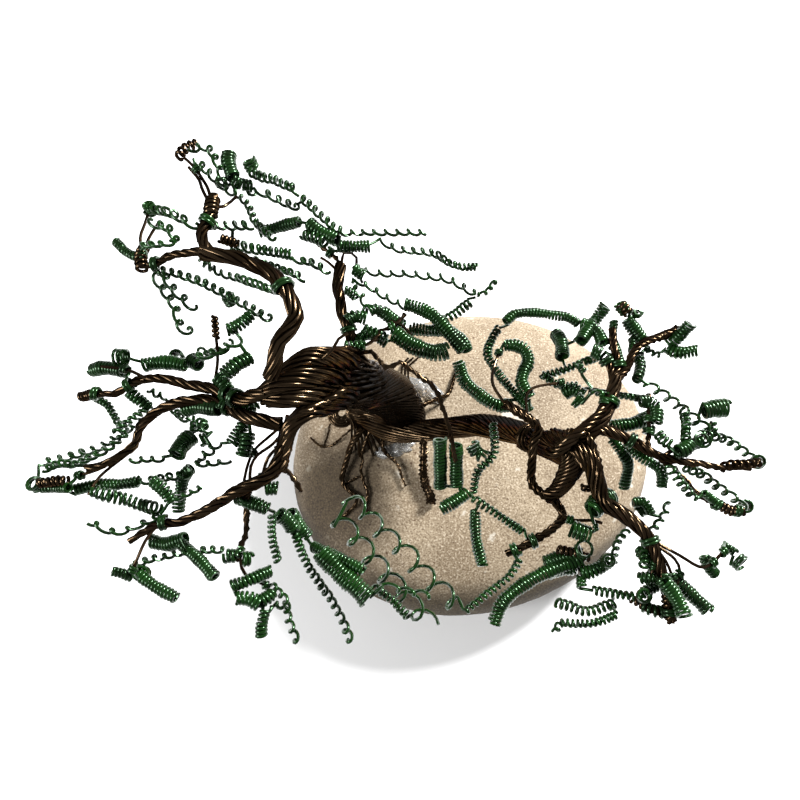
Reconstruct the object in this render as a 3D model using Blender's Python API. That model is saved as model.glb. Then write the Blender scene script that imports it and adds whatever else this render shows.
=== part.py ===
"""Wire tree sculpture: a leaning tree of twisted brown wires, with leaves of
green wire springs, glued by its roots to a river stone.

Lengths in the tables are millimetres and MM turns them into metres. +Z is up,
the origin is the middle of the stone's flat foot, and -Y is the front.
"""

import math

import bpy
from mathutils import Vector

MM = 0.001
GAP = 0.3                     # clear space between pieces that touch

# The stone: an egg-shaped pebble with a flat foot.
STONE_HALF_LENGTH = 55.5
STONE_HALF_WIDTH = 47.5
STONE_TURN = math.radians(6)  # its long axis, from +X towards +Y
STONE_WAIST = 16              # height of its widest ring
STONE_CROWN = 18              # from the waist up to the top
STONE_BELLY = 20              # from the waist down, before the foot cuts it off
STONE_NARROWING = 0.08        # how far the outline is drawn in at the narrow end
STONE_NARROW_END = math.radians(-48)
STONE_FULLNESS = 0.8          # below 1 the sides stand steeper than an ellipse's
STONE_SEGMENTS = 48
STONE_RINGS = 13

# Wire bundles: (name, radius at the start, radius at the end, route).
TRUNK = ("trunk", 6.3, 4.0, [
    (-21, 8, 34.5), (-21, 8, 42), (-23.5, 7, 54), (-27, 4, 70), (-30.5, 0, 86), (-33.5, -4.5, 99),
    (-37, -10, 112), (-39, -12, 118)])

LIMBS = [
    ("limb_right", 2.9, 2.6, [
        (-36, 4, 34), (-31, 0, 38), (-26, -2.5, 41), (-17, -2, 46), (-10, -1, 52), (-3, -3, 62),
        (2, -7, 76), (6, -13, 88), (8.5, -17, 97), (10, -19.5, 102)]),
    ("limb_right_back", 1.5, 1.2, [
        (12, -15, 105), (14.5, -12, 105), (15.5, -9.5, 105), (17, -5, 105)]),
    ("limb_right_outer", 1.3, 0.8, [
        (15.5, -17.5, 105), (20, -18, 105), (23, -20, 105), (28, -21, 105), (34, -22, 105),
        (39, -22, 105)]),
    ("limb_right_front", 1.6, 0.9, [
        (11.5, -24.5, 104), (13, -28, 104), (16, -30, 104), (20, -34, 104), (22, -40, 103),
        (22.5, -44, 103), (23, -48, 102)]),
    ("limb_middle_front", 1.0, 0.7, [
        (2, -17, 100), (2, -20, 98), (2, -24, 98), (6, -27, 98), (7, -30, 97), (3, -33, 96),
        (-3, -36, 95)]),
    ("limb_back_left", 1.4, 1.3, [
        (-42.5, -9.5, 123), (-41.5, -6.5, 124), (-39, -2, 124), (-39.5, 0, 124), (-41, 3, 124),
        (-43, 5.5, 124), (-45.5, 7, 124), (-49, 8.5, 124), (-55, 9.5, 124)]),
    ("limb_back_left_arm", 1.0, 0.8, [
        (-58, 10, 123), (-61, 10, 122), (-66, 9, 121)]),
    ("limb_back_left_top", 1.1, 0.9, [
        (-55, 13, 124), (-54, 17, 124), (-54, 20, 124)]),
    ("limb_back", 1.2, 1.2, [
        (-31.5, 2, 101), (-32.5, 5.5, 104), (-34, 11, 104), (-34.5, 14, 104), (-34, 18.5, 104)]),
    ("limb_left", 1.3, 0.8, [
        (-45.5, -12.5, 118), (-49, -12.5, 116.5), (-52, -11, 114.5), (-55, -9.5, 113),
        (-59, -9, 112), (-63, -8, 112), (-68, -8, 111), (-72, -10, 110), (-76, -10, 110)]),
    ("limb_left_front", 1.2, 0.8, [
        (-44.5, -17, 114), (-49, -15.5, 112.5), (-52, -13.5, 111.5), (-55, -12.5, 111.5),
        (-59, -12, 111.5), (-63, -13, 111), (-67, -16, 110), (-68, -19, 109), (-72, -22, 109),
        (-76, -23, 108)]),
    ("limb_front_left", 1.5, 0.9, [
        (-40.5, -17.5, 114.5), (-42, -21, 112), (-45, -25, 110), (-50, -27, 109), (-55, -30, 108),
        (-60, -32, 107), (-63, -32, 107), (-68, -35, 106)]),
    ("limb_front_left_arm", 0.9, 0.7, [
        (-49, -29, 106), (-49, -31, 104), (-49, -34, 104), (-50, -38, 104)]),
]

# Root bundles lie on the stone: (name, radius at the start, radius at the end, route seen from above).
ROOTS = [
    ("root_back", 0.9, 0.7, [(-21, 19), (-21, 25), (-18, 29)]),
    ("root_right_back", 1.0, 0.7, [(-11, 11), (-8, 14), (-5, 21), (-4, 25)]),
    ("root_right_front", 1.8, 1.5, [(-16, -4), (-16, -8.5), (-14, -16.5)]),
    ("root_front", 1.0, 0.7, [(-26, -5), (-24, -8), (-21, -12)]),
    ("root_front_left", 1.0, 0.7, [(-33, -4), (-33, -11), (-31.5, -18.5)]),
    ("root_left_front", 1.0, 0.7, [(-38, -5), (-38.5, -10.5), (-35, -15.5), (-39.5, -20)]),
    ("root_left", 0.9, 0.7, [(-40, 3), (-44.5, 1), (-49, 4.5)]),
]

# Leaf springs, each a fat rod of its coil's outer size: (name, radius, route).
SPRINGS = [
    ("spring_back_left_crest", 1.0, [(-49, 28, 120), (-45, 26.5, 120), (-41, 24.5, 120)]),
    ("spring_back_left_tail", 0.8, [(-33, 17, 118), (-29, 17, 118), (-18, 17, 118)]),
    ("spring_back_left_upper", 0.9, [(-55, 16.5, 121), (-52, 16.5, 121), (-48, 16.5, 121)]),
    ("spring_back_left_middle", 1.0, [(-51.5, 14, 119), (-46.5, 13, 119), (-41, 12, 119)]),
    ("spring_back_left_long", 0.9, [(-64, 9, 118.5), (-57, 7, 118.5), (-51, 4, 118.5), (-44, 0, 118.5)]),
    ("spring_back_left_drop", 0.9, [(-63, 6, 118), (-60, 2, 118), (-59, -1, 118), (-57, -2, 118)]),
    ("spring_back_left_tip", 1.4, [(-53, 32, 120), (-53, 30, 120), (-52, 27, 120)]),
    ("spring_back_long", 0.9, [(-26, 23.5, 104), (-20, 21.5, 104), (-16, 21, 104), (-7.5, 18, 104)]),
    ("spring_back_outer", 0.9, [(-29, 17, 104), (-20.5, 16.5, 104), (-14, 15.5, 104), (-7.5, 12, 104)]),
    ("spring_back_right", 1.4, [(-21.5, 10, 104), (-18.5, 9, 104), (-14, 5, 104), (-10.5, 0.5, 104)]),
    ("spring_back_low", 1.7, [(-23.5, 4, 104), (-21, 2, 104), (-18, 0.5, 104), (-16, 0, 104)]),
    ("spring_left_long", 0.9, [(-86, -21, 104), (-77, -18, 103), (-72, -14, 102), (-68, -11, 101)]),
    ("spring_left_tip", 0.8, [(-76.5, -10, 107), (-73, -13, 107), (-70.5, -16, 107)]),
    ("spring_left_upper", 1.4, [(-68.5, -4, 108), (-66, -3.5, 108), (-61, -4, 108)]),
    ("spring_left_front", 1.1, [(-79, -26, 105), (-75, -25, 105), (-68, -24.5, 105)]),
    ("spring_left_inner", 1.2, [(-58.5, -22.5, 107), (-60.5, -26, 105), (-61, -29.5, 104)]),
    ("spring_front_left_row", 0.8, [(-68, -38.5, 103), (-60, -36.5, 103), (-52.5, -36, 103)]),
    ("spring_front_left_end", 1.1, [(-66, -41, 103), (-64, -42, 103), (-60, -44, 103)]),
    ("spring_front_left_hang", 0.8, [(-44, -42, 103), (-42, -44, 103), (-41, -48, 102), (-39.5, -51, 102)]),
    ("spring_front_drop", 0.9, [(-42, -31, 99), (-39, -38, 97), (-34, -45, 97), (-31, -51, 96)]),
    ("spring_front_fat", 1.9, [(-36.5, -36, 100), (-33, -39.5, 100), (-28, -44, 100)]),
    ("spring_front_spiral", 2.0, [(-32, -26.5, 98), (-28.5, -29, 98), (-22, -35.5, 98), (-12, -45, 98)]),
    ("spring_front_spiral_outer", 2.0, [
        (-33.5, -31.5, 97), (-30, -34.5, 96), (-24, -41, 95), (-17, -48, 93)]),
    ("spring_right_arch", 1.1, [(-1.5, 9, 98), (2, 11, 98), (8, 10.5, 98), (13, 8.5, 98)]),
    ("spring_right_curl", 1.0, [(-2.5, 9, 95), (-5, 3.5, 95), (-4, 1, 95), (-1, -3.5, 95), (3, -8.5, 95)]),
    ("spring_right_hook", 1.3, [(-2, 4, 98), (0, 4, 98), (2.5, 1, 98), (1.5, -3, 98), (2.5, -7, 98)]),
    ("spring_middle_front", 1.1, [(-8.5, -28, 95), (-8.5, -33, 95), (-7.5, -38, 95)]),
    ("spring_middle_back", 0.9, [(-9, -26, 97), (-6, -28, 97), (0, -32, 96)]),
    ("spring_right_fat", 1.8, [(34, -11, 103), (35.5, -10.5, 103), (37.5, -10.5, 103)]),
    ("spring_right_back", 1.1, [(23.5, -6, 103), (27.5, -9, 103), (31, -12.5, 102)]),
    ("spring_right_upper", 1.0, [(31.5, -15.5, 103), (35, -16, 103), (41, -20.5, 103)]),
    ("spring_right_lower", 1.0, [(28, -22.5, 102.5), (33, -24.5, 103), (37.5, -28.5, 103)]),
    ("spring_right_front_long", 1.1, [(10, -37, 98), (2, -40, 97), (-4, -44, 97), (-6, -48, 96)]),
    ("spring_right_front_row", 0.9, [(5, -45, 97), (10, -46, 97), (15, -44, 97)]),
    ("spring_right_front_tip", 1.3, [(24.5, -40.5, 101), (27.5, -43.5, 101), (30, -46, 101)]),
]

TRUNK_STRANDS = 10            # strands that show around the trunk
LIMB_STRANDS = 3              # strands that show around a limb or a root
STRAND_RELIEF = 0.16          # depth of the groove between strands, as a share of the radius
TRUNK_STEP = 3.2              # length of one step along the trunk
LIMB_STEP = 3.0               # length of one step along a limb or a root
SPRING_STEP = 3.0             # length of one step along a spring
TRUNK_LAY = math.radians(3.2)  # twist of the strands for each millimetre of length
LIMB_LAY = math.radians(12)
ROOT_FLARE = 1.25             # how much wider the trunk is where it meets the stone
FLARE_HEIGHT = 9
SPRING_SIDES = 6

# Glue lumps on the stone: (name, middle x and y, half-length, half-width, height, turn).
GLUE = [
    ("glue_back", -14.5, 18.5, 4.5, 2.5, 1.5, math.radians(-42)),
    ("glue_front", -23.5, -1.5, 3.5, 1.5, 1, math.radians(12)),
]
GLUE_SEGMENTS = 16
GLUE_RINGS = 4


def make_material(name, colour, roughness, metallic=0.0):
    """A plain Principled material."""
    material = bpy.data.materials.new(name)
    material.use_nodes = True
    shader = material.node_tree.nodes["Principled BSDF"]
    shader.inputs["Base Color"].default_value = (*colour, 1.0)
    shader.inputs["Roughness"].default_value = roughness
    shader.inputs["Metallic"].default_value = metallic
    return material


def make_rings_object(name, rings, material):
    """A closed body through rings of points in mm, with a fan of faces at each end."""
    sides = len(rings[0])
    points = [point for ring in rings for point in ring]
    faces = []
    for row in range(len(rings) - 1):
        for side in range(sides):
            ahead = (side + 1) % sides
            faces.append((row * sides + side, row * sides + ahead,
                          (row + 1) * sides + ahead, (row + 1) * sides + side))
    for ring, first in ((rings[0], 0), (rings[-1], (len(rings) - 1) * sides)):
        middle = len(points)
        points.append(sum(ring, Vector()) / sides)
        for side in range(sides):
            edge = (first + side, first + (side + 1) % sides)
            faces.append((middle, *edge) if first else (middle, *reversed(edge)))
    mesh = bpy.data.meshes.new(name)
    mesh.from_pydata([point * MM for point in points], [], faces)
    mesh.shade_smooth()
    mesh.set_sharp_from_angle(angle=math.radians(50))
    mesh.materials.append(material)
    made = bpy.data.objects.new(name, mesh)
    bpy.context.collection.objects.link(made)
    return made


def stone_outline(angle):
    """Radius of the stone's widest ring in a direction seen from above."""
    turned = angle - STONE_TURN
    oval = 1 / math.hypot(math.cos(turned) / STONE_HALF_LENGTH, math.sin(turned) / STONE_HALF_WIDTH)
    towards_narrow_end = max(0.0, math.cos(angle - STONE_NARROW_END))
    return oval * (1 - STONE_NARROWING * towards_narrow_end ** 2)


def stone_share(rise):
    """How wide the stone is at a rise of -1 to 1 of its half-height, as a share of the waist."""
    return (1 - rise ** 2) ** (STONE_FULLNESS / 2)


def stone_top(x, y):
    """Height of the stone's upper face over a point seen from above."""
    share = math.hypot(x, y) / stone_outline(math.atan2(y, x))
    return STONE_WAIST + STONE_CROWN * math.sqrt(1 - min(share, 1.0) ** (2 / STONE_FULLNESS))


def make_stone(material):
    """The pebble, from its flat foot to its crown."""
    foot_rise = -STONE_WAIST / STONE_BELLY
    lowest = math.asin(foot_rise)
    highest = math.radians(84)
    rings = []
    for row in range(STONE_RINGS):
        rise = math.sin(lowest + (highest - lowest) * row / (STONE_RINGS - 1))
        half_height = STONE_CROWN if rise > 0 else STONE_BELLY
        ring = []
        for segment in range(STONE_SEGMENTS):
            angle = math.tau * segment / STONE_SEGMENTS
            radius = stone_outline(angle) * stone_share(rise)
            height = max(STONE_WAIST + half_height * rise, 0.0)
            ring.append(Vector((radius * math.cos(angle), radius * math.sin(angle), height)))
        rings.append(ring)
    return make_rings_object("river_stone", rings, material)


def make_glue(name, x, y, half_length, half_width, height, turn, material):
    """A lump of glue: a low dome that follows the stone's face."""
    rings = []
    for row in range(GLUE_RINGS):
        climb = math.radians(80) * row / (GLUE_RINGS - 1)
        ring = []
        for segment in range(GLUE_SEGMENTS):
            angle = math.tau * segment / GLUE_SEGMENTS
            along = half_length * math.cos(climb) * math.cos(angle)
            across = half_width * math.cos(climb) * math.sin(angle)
            px = x + along * math.cos(turn) - across * math.sin(turn)
            py = y + along * math.sin(turn) + across * math.cos(turn)
            ring.append(Vector((px, py, stone_top(px, py) + GAP + height * math.sin(climb))))
        rings.append(ring)
    return make_rings_object(name, rings, material)


def smooth_route(route, step):
    """Points about a step apart along a Catmull-Rom curve through the route."""
    stops = [Vector(stop) for stop in route]
    stops = [2 * stops[0] - stops[1], *stops, 2 * stops[-1] - stops[-2]]
    points = []
    for before, start, end, after in zip(stops, stops[1:], stops[2:], stops[3:]):
        count = max(1, round((end - start).length / step))
        for index in range(count):
            t = index / count
            points.append(0.5 * (2 * start + (end - before) * t
                                 + (2 * before - 5 * start + 4 * end - after) * t ** 2
                                 + (3 * start - before - 3 * end + after) * t ** 3))
    points.append(stops[-2])
    return points


def carried_frames(points):
    """A side and an up vector at each point, carried along without any twist."""
    ways = [(ahead - behind).normalized()
            for behind, ahead in zip([points[0], *points[:-1]], [*points[1:], points[-1]])]
    side = ways[0].orthogonal().normalized()
    frames = []
    for way in ways:
        side = (side - way * side.dot(way)).normalized()
        frames.append((side, way.cross(side)))
    return frames


def bundle_rings(points, radii, strands, lay):
    """Rings of a bundle whose strands show as twisted lobes, two points to each strand."""
    rings = []
    length = 0.0
    for index, (point, radius, (side, up)) in enumerate(zip(points, radii, carried_frames(points))):
        if index:
            length += (point - points[index - 1]).length
        ring = []
        for corner in range(2 * strands):
            angle = math.pi * corner / strands + lay * length
            reach = radius * (1 - STRAND_RELIEF * (corner % 2))
            ring.append(point + (side * math.cos(angle) + up * math.sin(angle)) * reach)
        rings.append(ring)
    return rings


def tapered(start, end, count):
    """Evenly spaced values from start to end."""
    return [start + (end - start) * index / (count - 1) for index in range(count)]


def make_trunk(name, start, end, route, material):
    """The trunk: a thick bundle that flares at its foot and sits down on the stone."""
    points = smooth_route(route, TRUNK_STEP)
    radii = []
    for point, radius in zip(points, tapered(start, end, len(points))):
        height = point.z - points[0].z
        flare = max(0.0, 1 - height / FLARE_HEIGHT) ** 2
        radii.append(radius * (1 + (ROOT_FLARE - 1) * flare))
    rings = bundle_rings(points, radii, TRUNK_STRANDS, TRUNK_LAY)
    for corner in rings[0]:
        corner.z = stone_top(corner.x, corner.y) + GAP
    return make_rings_object(name, rings, material)


def make_limb(name, start, end, route, material):
    """A bundle of a few wires, thinner towards its end."""
    points = smooth_route(route, LIMB_STEP)
    rings = bundle_rings(points, tapered(start, end, len(points)), LIMB_STRANDS, LIMB_LAY)
    return make_rings_object(name, rings, material)


def make_root(name, start, end, route, material):
    """A bundle that lies on the stone's upper face."""
    lying = [(x, y, stone_top(x, y) + GAP + start) for x, y in route]
    return make_limb(name, start, end, lying, material)


def make_spring(name, radius, route, material):
    """A leaf spring as a fat rod of its coil's outer size."""
    points = smooth_route(route, SPRING_STEP)
    rings = []
    for point, (side, up) in zip(points, carried_frames(points)):
        ring = []
        for corner in range(SPRING_SIDES):
            angle = math.tau * corner / SPRING_SIDES
            ring.append(point + (side * math.cos(angle) + up * math.sin(angle)) * radius)
        rings.append(ring)
    return make_rings_object(name, rings, material)


def main():
    for old in list(bpy.data.objects):
        bpy.data.objects.remove(old)
    stone = make_material("stone", (0.60, 0.52, 0.40), 0.85)
    glue = make_material("glue", (0.72, 0.70, 0.66), 0.25)
    brown_wire = make_material("brown_wire", (0.060, 0.028, 0.016), 0.28, 0.4)
    green_wire = make_material("green_wire", (0.020, 0.075, 0.025), 0.25, 0.4)
    make_stone(stone)
    for lump in GLUE:
        make_glue(*lump, glue)
    make_trunk(*TRUNK, brown_wire)
    for limb in LIMBS:
        make_limb(*limb, brown_wire)
    for root in ROOTS:
        make_root(*root, brown_wire)
    for spring in SPRINGS:
        make_spring(*spring, green_wire)


main()
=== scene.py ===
"""The looks of the wire tree sculpture: every strand of brown wire, every leaf
of coiled green wire, the river stone and the glue.

The tables are in millimetres, in the frame's own axes: +Z is up, the origin is
the middle of the stone's flat foot, and -Y is the front, where the camera is.
"""

import math
import random

import bpy
import mathutils
import numpy as np
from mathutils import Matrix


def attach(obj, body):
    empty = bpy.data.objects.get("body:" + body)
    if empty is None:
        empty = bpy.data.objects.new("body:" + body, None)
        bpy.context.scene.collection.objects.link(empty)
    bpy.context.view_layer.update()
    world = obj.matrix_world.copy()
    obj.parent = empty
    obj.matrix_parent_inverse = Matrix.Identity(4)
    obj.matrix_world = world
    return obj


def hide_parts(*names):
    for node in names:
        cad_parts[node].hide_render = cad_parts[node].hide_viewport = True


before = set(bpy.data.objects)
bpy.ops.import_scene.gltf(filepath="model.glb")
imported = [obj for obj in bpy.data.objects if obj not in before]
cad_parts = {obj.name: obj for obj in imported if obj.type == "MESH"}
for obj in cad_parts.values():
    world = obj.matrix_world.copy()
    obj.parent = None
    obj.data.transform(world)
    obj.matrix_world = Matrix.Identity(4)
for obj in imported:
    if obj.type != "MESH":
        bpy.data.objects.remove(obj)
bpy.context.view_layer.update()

MM = 0.001
SEED = 11
GREEN_RADIUS = 0.31           # half the thickness of the green wire
TIGHT = 0.64                  # pitch of a close-wound coil
TWIG_RADIUS = 0.3             # half the thickness of a single brown wire
WRAP_RADIUS = 0.33            # half the thickness of the brown wire that is wound round limbs

# The trunk and the thick limb: (wire radius, lay in degrees, route with the bundle's radius).
TRUNK = (0.36, -12, [
    (-21.5, 7.5, 33, 6.4), (-21.5, 7.5, 42, 5.9), (-23.5, 7, 54, 5.9), (-27, 4, 70, 5.7),
    (-30.5, 0, 86, 5.3), (-33.5, -4.5, 99, 4.6), (-36.5, -9, 110, 2.0)])
THICK_LIMB = (0.36, 12, [
    (-37.5, 9, 38.5, 1.0), (-35, 8, 38.5, 1.6), (-32, 6, 39, 2.3), (-25, 2, 42, 3.0), (-17, 1, 46, 3.0),
    (-10, 0, 52, 2.9), (-3, -2, 62, 2.8), (2, -7, 76, 2.6), (6, -13, 88, 2.6), (8.5, -17, 97, 2.9),
    (10, -19.5, 102, 2.9), (11, -21, 104, 1.8)])

# Lobes of the crown, where the trunk's outer strands gather: (strands, route with the lobe's radius).
LOBES = [
    (10, [
        (-31.5, -3, 108, 2.6), (-33.5, -5, 114, 2.1), (-36, -6.3, 118, 1.7), (-38.8, -7.2, 119, 1.6),
        (-41, -9, 118.5, 1.4), (-42.3, -11.5, 117.5, 1.0)]),
    (10, [
        (-33, -6, 108, 2.4), (-35.6, -8.6, 115, 2.2), (-38.5, -10.3, 118.5, 1.9),
        (-41.4, -11.2, 119.5, 1.8), (-43.5, -12.3, 119, 1.5), (-45.8, -13.2, 118, 1.1)]),
    (9, [
        (-32.8, -8, 107, 2.2), (-35.5, -11, 113, 2.1), (-38, -12.8, 117, 1.8), (-40.5, -13.6, 118, 1.6),
        (-43, -13.8, 118, 1.3), (-45, -14, 117, 1.0)]),
    (10, [
        (-31.5, -8, 104, 2.4), (-33.5, -11.2, 110, 2.2), (-36, -13.8, 114, 1.9), (-38.4, -15.3, 116, 1.6),
        (-40.3, -17.5, 115.5, 1.4), (-41.2, -20, 114, 1.2)]),
]

# Bundles of brown wires: (radius at the start, at the end, lay in degrees, wire radius, route).
LIMBS = [
    (1.4, 1.3, 15, 0.4, [
        (-43, -11, 121), (-42, -9, 123), (-41.5, -6.5, 124), (-40, -4, 124), (-39, -2, 124),
        (-39.5, 0, 124), (-41, 3, 124), (-43, 5.5, 124), (-45.5, 7, 124), (-49, 8.5, 124),
        (-55, 9.5, 124)]),
    (0.9, 0.7, 20, 0.34, [(-54, 10, 124), (-58, 10, 123), (-61, 10, 122), (-64, 9, 121), (-66, 9, 121)]),
    (1.1, 0.9, 20, 0.34, [(-53, 9, 124), (-55, 12, 124), (-55, 14, 124), (-54, 17, 124), (-54, 20, 124)]),
    (1.3, 0.7, 18, 0.34, [
        (-44, -12.5, 119), (-46, -13, 118), (-49, -13, 116), (-52, -11, 114), (-55, -10, 113),
        (-59, -9, 112), (-63, -8, 112), (-68, -8, 111), (-72, -10, 110), (-76, -10, 110)]),
    (1.3, 0.7, 18, 0.34, [
        (-42, -17, 115), (-44.5, -16.5, 115), (-46.5, -16, 115), (-49, -15, 114), (-52, -13, 113),
        (-55, -12, 112.5), (-59, -12, 112), (-63, -13, 111), (-67, -16, 110), (-68, -19, 109),
        (-72, -22, 109), (-76, -23, 108)]),
    (1.5, 0.7, 18, 0.36, [
        (-40, -16, 115), (-41, -18, 114), (-42, -21, 112), (-43, -23, 111), (-45, -25, 110),
        (-50, -27, 109), (-52, -28, 108), (-55, -30, 108), (-60, -32, 107), (-63, -32, 107),
        (-68, -35, 106)]),
    (0.9, 0.6, 34, 0.34, [
        (-48, -26, 109), (-49, -29, 105), (-49, -31, 104), (-49, -34, 104), (-50, -36, 104),
        (-50, -38, 104)]),
    (0.95, 0.95, 40, 0.46, [
        (-32, -10.5, 114), (-34.5, -13, 115), (-37, -15, 117), (-39, -16, 117), (-40.5, -18, 116),
        (-41, -21, 114), (-42, -24, 111)]),
    (1.0, 1.2, 16, 0.34, [
        (-29, 0, 88), (-31, 2, 100), (-32.5, 5.5, 104), (-33.5, 8, 104), (-34, 11, 104), (-34.5, 14, 104),
        (-34, 18.5, 104)]),
    (1.8, 1.2, 18, 0.36, [
        (5, -15, 98), (8, -17, 103), (11, -16, 105), (13, -14, 105), (14.5, -12, 105), (15.5, -9.5, 105),
        (16.5, -7, 105), (17, -5, 105)]),
    (1.2, 1.0, 24, 0.36, [
        (4, -19, 103), (5.5, -19, 106), (8.5, -16.5, 107), (11, -14.5, 107), (13, -12.5, 106),
        (14.5, -10.5, 105)]),
    (0.9, 0.7, 34, 0.36, [(10, -16, 106), (11, -17.5, 106), (12.5, -22, 105), (12.5, -26, 104)]),
    (1.2, 0.6, 22, 0.34, [
        (11, -16, 104), (13, -15, 105), (16, -16, 105), (20, -18, 105), (23, -20, 105), (28, -21, 105),
        (34, -22, 105), (39, -22, 105)]),
    (2.0, 0.8, 18, 0.36, [
        (6, -15, 99), (9, -18, 104), (11, -21, 105), (12, -24, 104), (13, -28, 104), (16, -30, 104),
        (20, -34, 104), (22, -40, 103), (22.5, -44, 103), (23, -48, 102)]),
    (3.1, 1.3, 22, 0.36, [(8, -16, 100), (9, -19, 102), (8, -22, 101), (6, -25, 99), (4, -26, 98)]),
    (1.05, 0.9, 34, 0.36, [
        (-3, -9, 101), (1, -12, 102), (3, -14, 101), (2, -17, 100), (2, -20, 98), (2, -24, 98),
        (6, -27, 98), (7, -30, 97), (3, -33, 96), (-3, -36, 95)]),
]

# Roots on the stone:
# (radius at the start, at the end, height that they start above it, lay, wire radius, route).
ROOTS = [
    (0.5, 0.5, 3, 30, 0.25, [
        (-33, 6), (-35, 6), (-39, 3.5), (-41.5, 1.5), (-44.5, 1), (-46.5, 2), (-49, 4.5)]),
    (0.45, 0.45, 0, 30, 0.23, [(-44.5, 1.5), (-43.5, 5), (-43, 8)]),
    (1.1, 0.8, 6, 26, 0.36, [
        (-33, 4), (-36, 0), (-37, -2), (-38, -5.5), (-39, -9), (-38.5, -10.5), (-36.5, -12.5),
        (-34.5, -14)]),
    (0.6, 0.55, 6, 26, 0.3, [
        (-31, 3), (-33, -2), (-33, -4.5), (-33.5, -7), (-32.5, -10.5), (-31.5, -13.5), (-32, -16.5),
        (-31.5, -18.5)]),
    (0.5, 0.5, 0, 26, 0.25, [(-38.5, -10.5), (-36.5, -9.5), (-34.5, -8.5), (-33, -8.5)]),
    (0.7, 0.7, 1, 26, 0.34, [(-34.5, -14), (-35, -16.5), (-37, -18), (-39.5, -20)]),
    (0.8, 0.6, 5, 34, 0.3, [
        (-27, 4), (-27.5, -0.5), (-26.5, -2.5), (-24, -4.5), (-22.5, -7), (-22, -9), (-21, -11.5)]),
    (1.4, 1.6, 6, 62, 0.34, [
        (-17, 4), (-16, -0.5), (-16, -5), (-16, -8.5), (-15.5, -11.5), (-14, -14.5), (-14, -16.5)]),
    (0.8, 0.7, 6, 30, 0.33, [(-16, 10), (-11, 13.5), (-8.5, 15), (-6.5, 21), (-5, 25)]),
    (0.33, 0.33, 4, 0, 0.32, [(-21.5, 14), (-22, 24.5), (-20, 28)]),
    (0.33, 0.33, 4, 0, 0.32, [(-20.5, 14), (-21, 24.5), (-18.5, 28)]),
    (0.33, 0.33, 4, 0, 0.32, [(-19.5, 14), (-20, 24), (-17, 28)]),
    (1.0, 0.7, 5, 30, 0.34, [(-25, 12), (-28, 15), (-29, 20), (-33, 24)]),
]

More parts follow.
